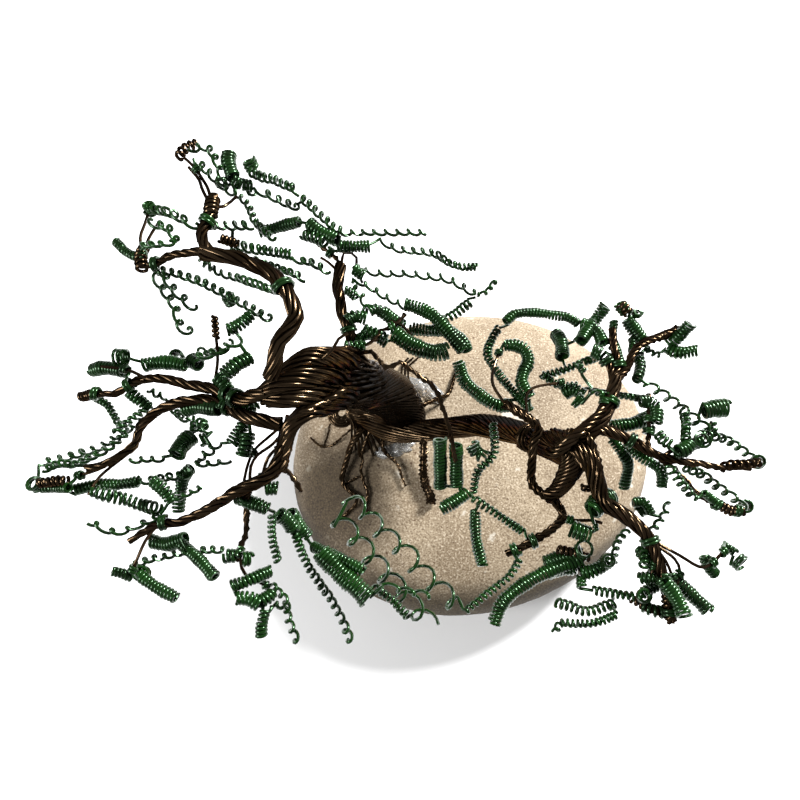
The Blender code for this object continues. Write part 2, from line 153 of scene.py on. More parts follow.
# Thin brown wires: (number of wires twisted together, route).
TWIGS = [
    (2, [
        (-31, -3, 110), (-27.5, -3, 112), (-25, -6, 112), (-22.5, -5, 112), (-20, -6.5, 111),
        (-16.5, -9, 110), (-15, -12, 108), (-13.5, -16, 105), (-12.5, -20, 101)]),
    (1, [(-35, -7, 119), (-33.5, -6, 120), (-32.5, -4, 120), (-31, -3, 120)]),
    (1, [(-66, 9, 121), (-66, 11.5, 120), (-65.5, 14.5, 120), (-64, 18, 120)]),
    (1, [(-65.5, 10, 121), (-66.5, 14, 121), (-66, 17, 121), (-65.5, 20, 121)]),
    (1, [(-54, 19, 124), (-55.5, 23, 122), (-57, 26, 120), (-59, 29, 120), (-61, 31, 120)]),
    (1, [(-54.5, 19, 124), (-56.5, 23, 122), (-58, 26.5, 120), (-60, 29, 120)]),
    (1, [(-54, 19, 123), (-53, 21, 120), (-51, 23, 120)]),
    (2, [(-40, 24.5, 104), (-37.5, 22, 104), (-35, 20, 104), (-34, 17.5, 104)]),
    (1, [(-38, 20, 104), (-36.5, 19, 104), (-34.5, 17, 104)]),
    (1, [
        (-34, 17.5, 104), (-33.5, 21, 104), (-32, 21, 104), (-31, 20, 104), (-31, 18, 104),
        (-30.5, 16, 104)]),
    (1, [(-54, -9, 113), (-53, -6, 116), (-53, -3, 118), (-53, -1, 120)]),
    (2, [(-43, -20, 112), (-43, -22, 111), (-41, -24, 110), (-39, -27, 109)]),
    (1, [(-42, -16.5, 113), (-45, -17.5, 109), (-47.5, -19.5, 108), (-48.5, -22, 108), (-49, -25, 108)]),
    (1, [(-42, -18, 113), (-44.5, -19, 109), (-47, -20.5, 108), (-48, -22.5, 108), (-48, -25, 108)]),
    (1, [(-42, -19.5, 112), (-44.5, -20.5, 109), (-45.5, -22, 108), (-46, -25, 108)]),
    (2, [(-32, 1.5, 103), (-28, 2, 104), (-26, 4.5, 104), (-23.5, 5.5, 104), (-21.5, 8, 104)]),
    (1, [(-24.5, 6.5, 104), (-22, 5.5, 104), (-20, 3, 104)]),
    (1, [(22, -35.5, 103), (24.5, -37.5, 103), (25.5, -39.5, 102), (24.5, -42, 102)]),
    (1, [(-63, -32, 107), (-65, -35, 107), (-67, -40, 106)]),
    (1, [(-67, -18, 109), (-74, -22, 108), (-81, -22, 107)]),
    (1, [(-68, -19, 109), (-73, -22.5, 108), (-78, -24, 107)]),
    (1, [(-69, -20, 108), (-74, -24, 107), (-76, -27, 106)]),
    (1, [(-66, -8, 112), (-70, -6, 111), (-75, -5, 110)]),
    (1, [(-50, -37, 103), (-49, -40, 102), (-45, -42, 101)]),
    (3, [(16.5, -6, 105), (16.5, -3, 104), (15.5, -1, 104)]),
    (3, [(17, -5.5, 105), (18, -3, 104), (17.5, 1, 104), (17.5, 5, 104)]),
    (3, [(17, -6, 105), (19.5, -3, 104), (21, 0, 104), (23, 2, 104), (27, 3.5, 104), (30, 5, 104)]),
    (2, [
        (22, -19.5, 105), (24.5, -21, 104), (26, -22, 104), (28, -24.5, 104), (30, -27, 104),
        (32, -28, 104), (34, -29, 104), (36.5, -29.5, 104)]),
    (2, [(22, -19, 105), (24.5, -19.5, 104), (26.5, -18.5, 104), (28.5, -18, 104), (31.5, -17, 104)]),
    (2, [(23, -8, 104), (22.5, -13.5, 104), (22, -16.5, 104), (21.5, -19.5, 105)]),
    (1, [(20, -34, 104), (25, -37, 104), (29, -39, 104), (33, -36, 104)]),
    (1, [(20.5, -35, 104), (21, -38, 103), (20, -41, 102)]),
    (1, [(20.5, -35, 104), (23, -38, 103), (24.5, -42, 102)]),
    (1, [(-3, -9, 101), (-5, -4, 100), (-3, 3, 98)]),
    (1, [(1, -12, 101), (2, -6, 100), (9, -4, 99)]),
    (1, [(5, -27, 99), (6.5, -29.5, 100), (8.5, -30.5, 100), (11.5, -30.5, 100), (13.5, -31, 100)]),
]

# Brown wire wound round a limb or a twig: (radius, pitch, route).
WRAPS = [
    (0.9, 0.8, [(5.5, -35.5, 99), (8, -36, 99), (11, -37, 99)]),
    (1.1, 0.8, [(19.5, 10, 104), (20.5, 9, 104), (21, 8, 104)]),
    (1.1, 0.8, [(-65.5, 8, 121), (-66, 10.5, 121), (-66, 13, 120)]),
    (1.3, 0.72, [(-54, 16.5, 124), (-54, 18.5, 124), (-54, 20.5, 123)]),
    (0.9, 0.7, [(-53, 14, 121), (-51.5, 13.5, 121), (-50, 13, 121)]),
    (1.0, 0.9, [(-62, 31, 120), (-61, 33, 120), (-59, 34, 120)]),
    (0.7, 0.8, [(-53, -3, 118), (-53, -1.5, 119), (-53, 0, 120)]),
    (1.0, 0.75, [(-75.5, -10, 110), (-77, -10, 109), (-79, -10, 108)]),
    (1.0, 0.8, [(-79, -25, 108), (-81, -25, 108), (-84, -25.5, 108)]),
    (1.0, 1.1, [(34, -22, 105), (36, -21.5, 105), (38, -21.5, 105), (41, -21, 105)]),
    (0.9, 0.9, [(17.5, -44, 100), (20, -45.5, 101), (23, -46.5, 102)]),
    (1.1, 0.72, [(22.5, -43, 103), (22.5, -45, 103), (23, -47.5, 102)]),
    (2.9, 0.95, [(4, -10.5, 82.5), (5.5, -12, 86)]),
    (0.9, 0.66, [(10.5, -24.5, 102), (10.5, -25.5, 102)]),
    (1.0, 0.7, [(33, -28.5, 104), (35, -29.5, 104), (37, -29.5, 104)]),
    (0.9, 0.7, [(26, 3, 104), (28, 4, 104)]),
]

# Leaves, each a coil of green wire: (name, coil radius, pitch, height, places seen from above).
# A pitch or a height that changes along the coil is given for both ends.
LEAVES = []


def add_leaves(group, rows):
    """More leaves, each one named after its group in the crown."""
    LEAVES.extend((f"{group}_{name}", *rest) for name, *rest in rows)


add_leaves("back_left", [
    ("long", 0.9, (1.5, 1.6), (120, 119), [(-64, 9), (-57, 7), (-51, 4), (-44, 0)]),
    ("under", 0.85, 1.5, (121, 119), [(-56, 10), (-53, 8), (-49, 7), (-43, 5)]),
    ("drop_inner", 0.9, 2.4, 119, [(-63, 9), (-61, 6), (-59, 4), (-57, 2)]),
    ("drop", 0.95, 2.4, (119, 118), [(-64, 8), (-62, 5), (-60, 2), (-59, -1), (-57, -2)]),
    ("ring", 1.3, TIGHT, (117.5, 120.5), [(-51, 3.5)]),
    ("bud", 1.15, TIGHT, 119, [(-51, -2), (-49, -1), (-47, 1)]),
    ("low", 0.9, 2.5, 119, [(-56, -7), (-53, -6), (-51, -5), (-49, -4)]),
    ("fat", 1.35, TIGHT, 119, [(-51, -10), (-49, -8), (-47, -7)]),
    ("arm_top", 0.9, 2.4, 121, [(-65, 17), (-62, 16), (-60, 13)]),
    ("arm_over", 0.9, (0.9, 3.0), 121, [(-66, 20), (-62, 19), (-60, 18), (-57, 16)]),
    ("arm_ring", 1.1, TIGHT, (119.5, 122), [(-65.5, 20)]),
    ("arm_end", 0.9, (TIGHT, 0.9), 120, [(-71, 14), (-69, 12), (-67, 11)]),
    ("arm_small", 0.7, 2.2, (122, 123), [(-66, 12), (-63, 12), (-60, 12)]),
    ("upper", 0.95, 1.6, 121, [(-55, 16.5), (-52, 16.5), (-48, 16.5)]),
    ("upper_end", 1.15, TIGHT, 119, [(-47, 16.5), (-45, 17), (-42, 18), (-40, 18.5)]),
    ("middle", 1.05, (1.6, TIGHT), 119, [(-51.5, 14), (-49, 13.5), (-46.5, 13), (-43.5, 12.5), (-41, 12)]),
    ("row", 0.8, 2.0, (119, 118), [(-50, 12), (-47, 11), (-44, 10), (-41, 9), (-39, 8)]),
    ("tail_low", 0.8, 1.8, 118, [(-40, 11.5), (-37.5, 11), (-35, 9.5)]),
    ("chain", 0.8, 1.3, 121, [(-51, 23), (-49, 21), (-48, 19), (-47, 17), (-44, 14)]),
    ("fork", 1.2, TIGHT, 120, [(-52, 26.5), (-50.5, 25.5), (-48.5, 25)]),
    ("fork_low", 0.9, 1.2, 120, [(-55, 25.5), (-53, 26), (-51, 25)]),
    ("arcs", 0.9, 2.3, 120, [(-49, 24), (-46, 23.5), (-43, 22), (-40, 20.5)]),
    ("crest", 1.0, (0.9, 1.2), 120, [(-49, 28), (-47, 27), (-45, 26.5), (-43, 25.5), (-41, 24.5)]),
    ("crest_loop", 1.4, TIGHT, 120, [(-49.5, 30.5), (-48.5, 28.5)]),
    ("crest_low", 0.9, 1.5, 119, [
        (-40, 23.5), (-38.5, 22), (-37, 20.5), (-35.5, 19), (-34, 17.5), (-32, 16.5)]),
    ("mass", 1.3, TIGHT, 118, [(-38.5, 19), (-37, 17.5), (-35, 16.5), (-33.5, 15.5)]),
    ("mass_low", 1.1, 0.9, 118, [(-39.5, 16.5), (-37.5, 16), (-35.5, 15)]),
    ("tip", 1.4, TIGHT, 120, [(-53, 32), (-53, 30), (-52, 27)]),
    ("zig", 0.9, 2.1, 120, [(-60, 33), (-57, 33), (-55, 30), (-54, 27), (-54, 25)]),
    ("zag", 0.9, 1.9, 119, [(-59, 31), (-57, 29), (-55, 27), (-53, 25), (-51, 24)]),
    ("tail", 0.75, 2.0, 118, [(-33, 17), (-29, 17), (-18, 17)]),
])
add_leaves("back", [
    ("long", 0.9, (2.6, TIGHT), 104, [
        (-26, 23.5), (-23, 22), (-20, 21.5), (-16, 21), (-13, 19), (-10.5, 18), (-7.5, 18)]),
    ("outer", 0.9, 2.4, 104, [
        (-29, 17), (-25, 16.5), (-20.5, 16.5), (-17.5, 16), (-14, 15.5), (-11.5, 14.5), (-9.5, 13),
        (-7.5, 12)]),
    ("knot", 0.7, 1.5, 104, [(-8, 12), (-6, 12.5), (-4, 15)]),
    ("right", 1.4, TIGHT, 104, [(-21.5, 10), (-18.5, 9), (-16, 7.5), (-14, 5), (-12.5, 3), (-10.5, 0.5)]),
    ("low", 1.7, TIGHT, 104, [(-23.5, 4), (-21, 2), (-18, 0.5), (-15.5, 0), (-13.5, 0.5)]),
    ("crown", 1.3, TIGHT, 104, [(-35, 22.5), (-32, 22.5), (-28.5, 22.5)]),
    ("d", 1.1, 0.9, 104, [(-14.5, 6.5), (-12, 8), (-9, 10.5)]),
    ("g", 1.3, TIGHT, 104, [(-20.5, 5), (-17, 4.5), (-13.5, 4.5), (-11, 2.5), (-10, 0.5)]),
    ("h", 0.8, 2.4, 104, [(-31, 15), (-28, 13.5), (-26, 12), (-23.5, 10.5), (-21.5, 9.5)]),
    ("zig", 0.9, 2.1, 104, [(-32, 14), (-30, 12), (-29, 9.5), (-29, 8)]),
    ("dense", 1, TIGHT, 104, [(-33, 13), (-32, 12.5), (-31, 11.5)]),
    ("j", 1.4, TIGHT, 104, [(-32.5, 6.5), (-31, 7.5), (-29, 7)]),
    ("k", 1.35, TIGHT, 104, [(-26, 8.5), (-24, 7), (-22, 5.5)]),
    ("m", 1.1, TIGHT, 101, [(-31, 4), (-28, 5), (-25, 3)]),
    ("bud", 1.3, TIGHT, 104, [(-31.5, 17.5), (-29.5, 16)]),
    ("foot", 0.9, 0.9, 104, [(-33, 1.5), (-31, 1.5), (-29, 1.5)]),
    ("n", 1.2, TIGHT, 104, [(-28.5, 8.5), (-27, 9), (-25.5, 8)]),
    ("o", 1.1, 0.9, 104, [(-29.5, 5), (-27, 4), (-25, 3)]),
])
add_leaves("left", [
    ("long", 0.9, 1.9, (104, 101), [(-86, -21), (-77, -18), (-72, -14), (-68, -11)]),
    ("long_b", 0.8, 1.6, 108, [
        (-83, -23), (-81, -22), (-78, -22), (-75, -20.5), (-72.5, -19), (-70, -16.5)]),
    ("chain", 0.8, 1.3, 108, [(-72, -16.5), (-70, -14.5), (-68, -13), (-66.5, -11.5)]),
    ("tip", 0.8, (TIGHT, 1.0), 107, [(-76.5, -10), (-74.5, -11), (-73, -13), (-72, -14.5), (-70.5, -16)]),
    ("ring", 1.5, TIGHT, (107, 109), [(-84.5, -25.5)]),
    ("fat", 0.95, TIGHT, 107, [(-83.5, -26), (-81, -26), (-79, -26)]),
    ("upper", 1.4, TIGHT, 108, [(-68.5, -4), (-66, -3.5), (-63.5, -3.5), (-61, -4)]),
    ("front", 1.1, TIGHT, 105, [(-79, -26), (-75, -25), (-71.5, -25), (-68, -24.5)]),
    ("front_b", 0.9, (1.6, 2.0), 105, [(-67, -24.5), (-65, -24), (-61.5, -23.5), (-59, -23)]),
    ("inner", 1.2, TIGHT, (107, 104), [(-58.5, -22.5), (-60, -24), (-60.5, -26), (-61, -29.5)]),
    ("inner_b", 0.95, 1.6, 108, [(-54, -18.5), (-55.5, -20), (-57, -21)]),
    ("c", 1.2, TIGHT, 108, [(-70.5, -9), (-68.5, -10.5), (-66.5, -12)]),
    ("d", 0.8, 1.5, 108, [(-67, -8.5), (-65.5, -9.5), (-64, -10)]),
    ("e", 0.7, 1.7, 107, [(-69.5, -21.5), (-66.5, -21), (-63.5, -21)]),
    ("f", 1.4, TIGHT, 112, [(-59, -13.5), (-56.5, -13), (-53, -13.5)]),
    ("joint", 1.4, TIGHT, 113, [(-49.5, -12.5), (-47.5, -12)]),
    ("stem", 0.7, 1.0, 108, [(-58.5, -14.5), (-58.5, -16.5)]),
    ("stem_right", 0.7, 1.0, 108, [(-56.5, -14), (-57.5, -16.5)]),
    ("g", 1.6, TIGHT, 108, [(-61, -20.5), (-60, -18.5), (-58.5, -17)]),
    ("ball", 1.3, TIGHT, 108, [(-57, -18), (-56, -17.5)]),
    ("loops", 0.9, 1.6, 108, [(-58, -14), (-57, -15), (-56, -16)]),
    ("h", 1.3, TIGHT, 108, [(-49.5, -14.5), (-50.5, -16.5), (-51.5, -18.5)]),
    ("h_ring", 1.4, TIGHT, 108, [(-49, -16.5), (-49, -18.5), (-49.5, -20.5)]),
    ("i", 0.7, 1.9, 108, [(-58, -22), (-55, -22), (-52, -21.5)]),
    ("j", 0.65, 1.4, 108, [(-60, -28), (-58, -27), (-56, -26)]),
    ("k", 1.25, 0.9, 107, [(-75, -26.5), (-71.5, -27.5), (-69, -28), (-66, -29), (-63.5, -29.5)]),
    ("s", 1.2, TIGHT, 108, [(-64.5, -25), (-62.5, -26.5), (-61, -28.5)]),
    ("m", 1.35, TIGHT, 108, [(-77.5, -5), (-75.5, -4.5), (-71.5, -5)]),
    ("n", 1.7, TIGHT, 108, [(-73.5, -2.5), (-72.5, -2.5), (-71.5, -2.5)]),
    ("o_ring", 1.3, TIGHT, (107, 109), [(-62.5, -2.5)]),
    ("o_ball", 1.4, TIGHT, 108, [(-60.5, -3), (-59.5, -3.5), (-58.5, -4)]),
    ("o_loop", 1.4, 1.2, 108, [(-58.5, -2), (-57.5, -1.5)]),
    ("green", 1.3, TIGHT, 112, [(-54, -7.5), (-53, -8.5), (-52, -10)]),
    ("q", 0.9, 3.0, 108, [(-60, -2.5), (-57.5, -2), (-55, -1), (-52.5, 1)]),
    ("u", 0.8, 1.3, 109, [(-62.5, -12), (-61, -13.5), (-59.5, -14.5)]),
    ("v", 1.3, TIGHT, 111, [(-49.5, -12.5), (-48, -12.5), (-47, -12)]),
    ("r", 0.8, (3.1, 2.2), 107, [
        (-75, -31.5), (-72, -33), (-69.5, -33.5), (-67, -32.5), (-64.5, -31.5), (-62.5, -30.5)]),
])
add_leaves("front_left", [
    ("b", 1.15, TIGHT, 103, [(-61.5, -34), (-59.5, -35.5), (-57, -37.5), (-54, -40.5)]),
    ("mass", 1.4, TIGHT, 103, [(-65.5, -34.5), (-62.5, -35), (-59.5, -34)]),
    ("end", 1.15, TIGHT, 103, [(-67, -40), (-64, -42), (-60, -44)]),
    ("end_ring", 1.4, TIGHT, (103, 105), [(-66, -40)]),
    ("blobs", 1, TIGHT, 103, [(-71.5, -39.5), (-69.5, -40), (-68, -40.5)]),
    ("row", 0.8, 1.65, 103, [
        (-68, -38.5), (-65, -37.5), (-62.5, -37), (-60, -36.5), (-56, -36), (-52.5, -36)]),
    ("cluster", 1.3, TIGHT, 103, [(-52.5, -37), (-51.5, -37), (-50.5, -37)]),
    ("ball", 1.35, TIGHT, 103, [(-49.5, -37.5), (-48.5, -37.5), (-48, -37.5)]),
    ("c", 1.15, TIGHT, 103, [(-51, -42), (-48, -41), (-44.5, -39.5)]),
    ("d", 1.3, TIGHT, 103, [(-50, -44), (-48, -44), (-46, -45)]),
    ("dark", 1.2, TIGHT, 103, [(-46, -44.5), (-45, -44), (-44, -43)]),
    ("e", 1.05, TIGHT, 103, [(-45, -46), (-45.5, -48), (-45.5, -50)]),
    ("f", 0.85, 0.9, (105, 102), [(-44.5, -30), (-44.5, -34), (-43.5, -38)]),
    ("g", 1.3, TIGHT, 106, [(-50.5, -27.5), (-47.5, -28.5), (-45, -29.5)]),
    ("g_end", 1.5, TIGHT, 103, [(-43.5, -30), (-42, -31), (-41, -32.5)]),
    ("hang", 0.8, (1.3, 1.8), (103, 102), [
        (-44, -42), (-42, -44), (-41.5, -45.5), (-41, -48), (-39.5, -51)]),
    ("small", 0.7, 1.3, 103, [(-44, -45), (-43, -45), (-42, -45.5)]),
    ("wrap", 1.35, TIGHT, 104, [(-46, -25.5), (-45, -25.5), (-44, -25.5)]),
])
add_leaves("front", [
    ("drop", 0.9, (TIGHT, 1.8), (99, 96), [(-42, -31), (-39, -38), (-34, -45), (-31, -51)]),
    ("fat", 1.9, TIGHT, 100, [(-36.5, -36), (-33, -39.5), (-30, -42), (-28, -44)]),
    ("fat_top", 1.5, TIGHT, 101, [(-42, -29.5), (-40.5, -31.5), (-39, -33.5)]),
    ("spiral", 2.0, 4.4, 98, [
        (-32, -26.5), (-28.5, -29), (-25.5, -32.5), (-22, -35.5), (-19.5, -38.5), (-16, -42), (-12, -45)]),
    ("spiral_outer", 2.0, 4.4, (98, 93), [
        (-34, -30), (-30, -34), (-27, -37.5), (-24, -41), (-21, -44), (-17, -48)]),
    ("c", 0.8, 2.8, 100, [(-26, -41.5), (-22, -42.5), (-17, -43.5)]),
    ("d", 0.9, 0.9, 97, [(-27, -42), (-24, -44), (-21, -47)]),
    ("e", 1.1, TIGHT, (99, 98), [(-38, -35), (-33, -37), (-29, -39)]),
])
add_leaves("middle", [
    ("front", 1.15, TIGHT, 95, [(-8.5, -28), (-8.5, -33), (-7.5, -38)]),
    ("back", 0.9, (1.1, TIGHT), (97, 96), [(-9, -26), (-6, -28), (0, -32)]),
    ("c", 1.45, TIGHT, 97, [(8.5, 7), (9.5, 5), (9.5, 2)]),
    ("d", 1.4, TIGHT, 97, [(-11, 1), (-10, -3), (-7, -6), (-4, -8), (-1, -8)]),
    ("e", 0.9, 0.9, 97, [(5, -2), (9, -1), (14, 1), (17, 2)]),
    ("f", 0.9, 0.9, (98, 97), [(5, -2), (8, -4), (12, -4)]),
    ("g", 1.4, TIGHT, 97, [(13, 5), (16, 9), (19, 13)]),
    ("h", 1.4, TIGHT, (98, 97), [(9, -6), (11, -5), (13, -6)]),
    ("i", 0.8, (1.6, TIGHT), 97, [(13, -5), (20, -6), (26, -7)]),
    ("j", 1.4, TIGHT, (99, 98), [(17, -13), (22, -12), (26, -10)]),
    ("k", 1.1, TIGHT, (99, 97), [(17, -15), (19, -18), (20, -20), (19, -24)]),
    ("l", 1.1, TIGHT, (99, 97), [(20, -17), (23, -19), (26, -21), (26, -24)]),
    ("m", 1.35, TIGHT, (98, 97), [(-15, -15), (-15, -20), (-15, -24)]),
    ("n", 1.35, TIGHT, (98, 97), [(-12, -16), (-12, -20), (-12, -24)]),
    ("o", 0.9, 0.9, (99, 97), [(-5, -12), (-5, -18), (-8, -21), (-9, -25)]),
    ("p", 1.5, TIGHT, 98, [(-9, -16), (-8, -18), (-7, -17)]),
])
add_leaves("front_right", [
    ("d", 0.8, 1.0, (97, 96), [(-1, -37), (-3, -40), (-7, -43), (-11, -46)]),
    ("e", 0.8, 1.3, 98, [(18.5, -32), (17, -33.5), (16, -35.5), (15.5, -38)]),
    ("f", 1.4, TIGHT, 98, [(9.5, -39.5), (12, -39), (14.5, -37.5)]),
    ("nub", 1, TIGHT, 98, [(9.5, -40), (9.5, -42)]),
    ("g", 0.95, 0.9, 98, [(11.5, -42.5), (15, -43), (18.5, -43.5)]),
    ("i", 0.85, (1.2, TIGHT), 97, [
        (4.5, -49.5), (5.5, -48), (8, -48), (10.5, -48), (13, -47.5), (15.5, -46.5)]),
    ("k", 1.1, TIGHT, 98, [(20, -43), (22, -42), (24, -41)]),
    ("l", 1.25, 0.9, 98, [(20, -45), (22, -46), (25, -46)]),
    ("m", 1.5, TIGHT, 99, [(3, -38), (6, -37), (10, -36)]),
    ("mass", 1.8, TIGHT, 98, [(3.5, -39), (6, -38.5), (8.5, -38)]),
    ("o", 1.35, TIGHT, (100, 98), [(20, -36), (22, -38), (23, -41)]),
    ("p", 0.8, 1.6, 100, [(25.5, -27), (25, -29), (23.5, -31), (22, -32.5)]),
    ("q", 1.35, TIGHT, 97, [(-15, -28), (-13, -27), (-10, -25)]),
    ("r", 1.6, TIGHT, 100, [(8, -32), (9.5, -32.5), (11, -33)]),
    ("loop", 1.7, TIGHT, (99.5, 100.5), [(10, -35.5)]),
    ("ring", 1.4, TIGHT, (99.5, 100.5), [(14, -37.5)]),
])
add_leaves("right", [
    ("t", 1.4, TIGHT, (99.5, 101), [(19.5, -43.5)]),
    ("u", 1, TIGHT, 100, [(19.5, -35.5), (21, -37.5), (22, -39)]),
    ("v", 1.1, TIGHT, 100, [(19, -40.5), (21.5, -40.5), (24, -41.5)]),
    ("w", 1.35, TIGHT, 100, [(20, -29), (21, -28.5), (22, -28)]),
    ("arch", 1.1, TIGHT, 98, [(-1.5, 9), (0, 10.5), (2, 11), (5, 11), (8, 10.5), (11, 10), (13, 8.5)]),
    ("curl", 1.0, (0.9, TIGHT), 95, [
        (-2.5, 9), (-4, 6.5), (-5, 3.5), (-4, 1), (-2.5, -1.5), (-1, -3.5), (1, -6), (3, -8.5)]),
    ("hook", 1.35, TIGHT, 98, [(-2, 4), (0, 4), (2, 3), (2.5, 0.5), (1.5, -1.5), (1, -4), (2.5, -7)]),
    ("fat", 1.8, TIGHT, 103, [(33, -11), (35.5, -10.5), (37.5, -10.5)]),
    ("fat_stem", 0.7, 1.1, 103, [(34.5, -13), (34.5, -15.5)]),
    ("back", 1.15, 2.2, 103, [(23.5, -6), (25.5, -7.5), (27.5, -9), (29.5, -11), (32, -13.5), (34, -15)]),
    ("upper", 1.0, (0.9, 2.0), 103, [(31.5, -15.5), (35, -16), (38, -17.5), (41, -20.5)]),
    ("upper_end", 1.3, TIGHT, (102.5, 103.5), [(41.5, -20.5)]),
    ("lower", 1.0, (1.2, 2.2), 103, [
        (28, -21.5), (30.5, -22.5), (33, -24.5), (35.5, -26.5), (37.5, -28.5)]),
    ("front_long", 1.35, TIGHT, (98, 96), [(10, -37), (2, -40), (-4, -44), (-6, -48)]),
    ("front_row", 1.05, 0.95, 97, [(5, -44.5), (7, -45), (10, -46), (12.5, -45.5), (15.5, -44.5)]),
    ("front_tip", 1.35, TIGHT, 101, [(24.5, -40.5), (27.5, -43.5), (30, -46)]),
    ("c", 1.0, 1.0, 103, [(29.5, -11), (29.5, -13.5), (29, -16.5)]),
    ("d", 1.8, 0.9, (102.5, 103.5), [(32, -16.5)]),
    ("top_b", 1.3, TIGHT, 104, [(12, 6), (14.5, 4.5), (15.5, 2)]),
    ("top_c", 1.4, TIGHT, 104, [(13.5, 0.5), (14.5, 0), (15, -0.5)]),
    ("top_d", 0.8, 1.2, 104, [(15, 3.5), (16, 2), (17.5, 1)]),
    ("top_e", 0.9, TIGHT, 104, [(18, 6.5), (17.5, 3), (18, 0.5), (18.5, -2)]),
    ("top_f", 1.35, TIGHT, 104, [(19.5, 10), (20, 9), (20.5, 8)]),
    ("top_g", 1.1, TIGHT, (103.5, 105), [(22.5, 8)]),
    ("top_h", 1.5, TIGHT, 104, [(20.5, 7), (21.5, 5), (23, 2.5)]),
])
add_leaves("middle", [
    ("ball", 1.6, TIGHT, 104, [(9.5, -9), (10, -9.5), (10.5, -10)]),
    ("r", 0.8, 1.7, 104, [(12.5, -7.5), (14, -8), (15.5, -8.5)]),
    ("i_end", 1.3, TIGHT, 104, [(21, -9.5), (22.5, -9.5), (24, -10.5)]),
    ("s", 1.35, TIGHT, 104, [(24, -11), (24, -12.5), (23.5, -13.5)]),
])
add_leaves("right", [
    ("f", 0.95, 1.15, 103, [(25.5, -21.5), (27, -24), (29, -27)]),
    ("h", 1.35, TIGHT, 104, [(32.5, 6), (31, 4.5), (29.5, 3), (27.5, 1.5)]),
    ("i", 1.3, TIGHT, 104, [(27.5, 1), (29.5, 0), (33, 0.5)]),
    ("j", 0.8, 1.1, 104, [(23.5, 1), (24.5, 0), (26, -0.5)]),
    ("k", 1.1, 0.9, 104, [(22, 0), (22, -3), (21, -5.5)]),
    ("m", 1.4, TIGHT, 103, [(22, -41), (24, -44), (25, -47)]),
    ("n", 0.9, 1.0, 101, [(20.5, -35), (20, -37), (19.5, -39)]),
    ("o", 2.0, TIGHT, 101, [(11.5, -29), (13, -27.5), (15, -26.5)]),
    ("o_bud", 0.6, TIGHT, 101, [(12, -31), (12, -32.5)]),
    ("q", 1, TIGHT, 104, [(18, -28), (20, -28), (21, -30)]),
    ("r", 0.9, TIGHT, 103, [(33, -35), (35, -36.5)]),
    ("r_ball", 1.6, TIGHT, 103, [(35, -37.5), (36, -38.5)]),
    ("s", 1.1, TIGHT, 103, [(29.5, -37), (30, -38.5), (31, -40)]),
    ("x", 1.1, 0.9, 103, [(24, -15), (25, -16.5), (26.5, -17.5)]),
    ("y", 1.4, TIGHT, 102, [(27.5, -18.5), (29, -18), (30, -17)]),
    ("lower_bud", 0.8, TIGHT, 103, [(31, -26), (32, -27), (33.5, -28)]),
    ("lower_end", 1.3, TIGHT, (102.5, 103.5), [(38, -28.5)]),
    ("top_a", 1.4, TIGHT, 104, [(14, 6), (12.5, 4), (11.5, 2.5)]),
    ("top_i", 0.8, TIGHT, 104, [(21, 3), (21, 1.5), (20.5, 0)]),
    ("top_j", 0.8, 1.0, 104, [(10.5, -2), (11, -3), (11.5, -4)]),
])


# Glue lumps on the stone: (middle x and y, half-length, half-width, height, turn in degrees).
GLUE = {
    "glue_back": (-15.5, 17.5, 5.6, 3.4, 1.8, -42),
    "glue_front": (-24, -1, 5.4, 2.0, 1.3, 12),
}

# The stone: an egg-shaped pebble with a flat foot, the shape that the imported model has.
STONE_HALF_LENGTH = 55.5
STONE_HALF_WIDTH = 47.5
STONE_TURN = math.radians(6)  # its long axis, from +X towards +Y
STONE_WAIST = 16              # height of its widest ring
STONE_CROWN = 18              # from the waist up to the top
STONE_BELLY = 20              # from the waist down, before the foot cuts it off
STONE_NARROWING = 0.08        # how far the outline is drawn in at the narrow end
STONE_NARROW_END = math.radians(-48)
STONE_FULLNESS = 0.8          # below 1 the sides stand steeper than an ellipse's
STONE_WORN = 0.25             # how far its face is worn down, so that swells stay inside the shape
STONE_REACH = 50              # about how far its face is from the origin
STONE_SIZES = (64, 176)       # rings of the stone, and points in each ring
# Middle of the painted shadow that the trunk and crown cast on the stone's front left
CROWN_SHADOW_MIDDLE = (-40, -13, 26)
UNDERSIDE_SHADE_DIP = 0.25               # how steeply the edge of the painted shade on the stone's underside rises towards the front
GLUE_SIZES = (9, 36)          # the same for a lump of glue

SHARP_ANGLE = 60              # faces that meet at more than this show an edge
STRAND_STEP = 1.2             # length of one step along a strand
STRAND_GAP = 2.06             # room that each strand of a bundle takes up, in wire radii
FINE_STEP = 0.8               # a step along strands that bend sharply
WIRE_SIDES = 6
CORE_SIDES = 10
TWIG_LAY = 32                 # twist of a twig's wires, in degrees
LOBE_LAY = 20
LOBE_RISES = 58               # height at which a lobe's strands come out of the trunk
LOBE_LEAVES = 94              # height at which they leave its face
CURL_MIDDLE = (-39, 8.4)      # the curl of wires at the thick limb's end, seen from above
CURL_WIRES = 5
FOOT_WIRES = 9                # wires that fan out from the thick limb's end

LEAF_STEP = 0.5               # length of one step along the middle of a coil
HANG_STEP = 1.0               # the same while the leaves look for what they hang from
PITCH_STEPS = 400             # steps in which a pitch changes along a coil
COIL_STEPS = 12               # steps in each turn of a coil
TREE_MIDDLE = np.array((-22.0, -30.0))  # which way is outwards, for the lean of loose turns
TURN_LEAN = 0.26              # how far a loose coil's turns lean over, as a share of its pitch
STALK_TURNS = 2               # turns of a leaf's stalk round the branch that it hangs from
LEAF_RISE = 7                 # the most that the foliage waves up and down
LEAF_WAVES = 0.075            # how many waves it makes to the millimetre

EYE = np.array((-22.5, -48.3, 224.2))  # the camera's place, which the foliage waves towards
LIGHTS_TARGET = (-10, 0, 40)
FLOOR_HALF = 3000


